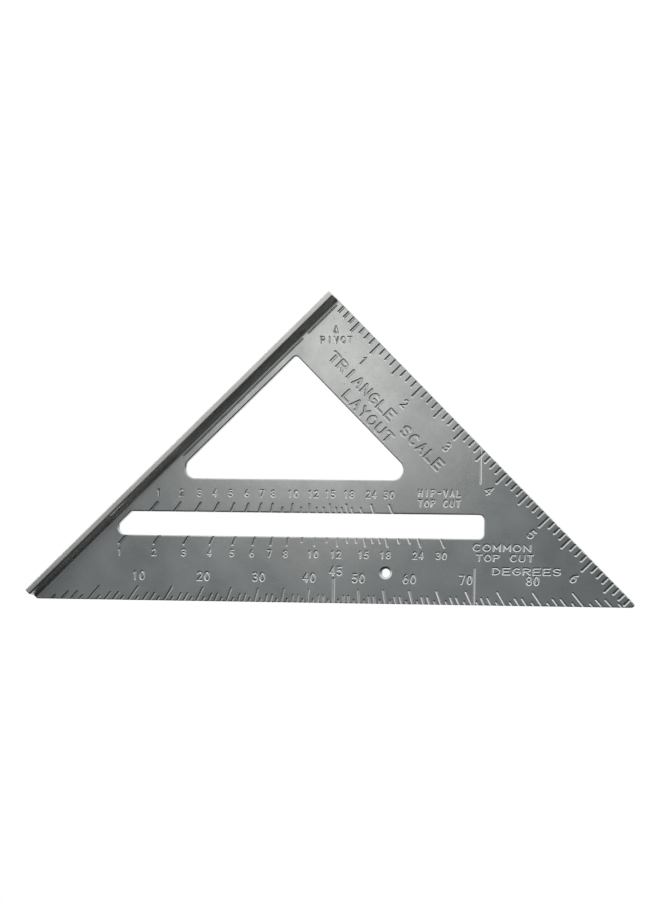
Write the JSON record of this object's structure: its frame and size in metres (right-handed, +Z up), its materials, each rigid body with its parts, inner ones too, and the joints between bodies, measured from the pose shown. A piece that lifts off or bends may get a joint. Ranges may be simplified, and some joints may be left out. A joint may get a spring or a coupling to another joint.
{
  "type": "rafter square",
  "caption": "Cast aluminium rafter square: a flat right triangle with a T-shaped fence, a window, a slot, an inch rule and degree and rafter scales cut into one face.",
  "frame": {"origin": "centre of the fence's outer face, which the square stands on", "axes": "+Z up the rule edge, away from the fence; +X along the fence from the pivot corner to the heel; -Y is the face that carries the scales"},
  "size_m": [0.1794, 0.019, 0.1824],
  "materials": {
    "cast_aluminium": "cast satin"
  },
  "bodies": {
    "root": {"fence_core": "cast_aluminium", "fence_front_lip": "cast_aluminium", "fence_back_lip": "cast_aluminium", "pivot_corner": "cast_aluminium", "rule_arm": "cast_aluminium", "window_rail": "cast_aluminium", "heel_shoulder": "cast_aluminium", "middle_bar": "cast_aluminium", "toe_shoulder": "cast_aluminium", "heel_block": "cast_aluminium", "degree_bar": "cast_aluminium", "toe_block": "cast_aluminium"}
  },
  "joints": []
}
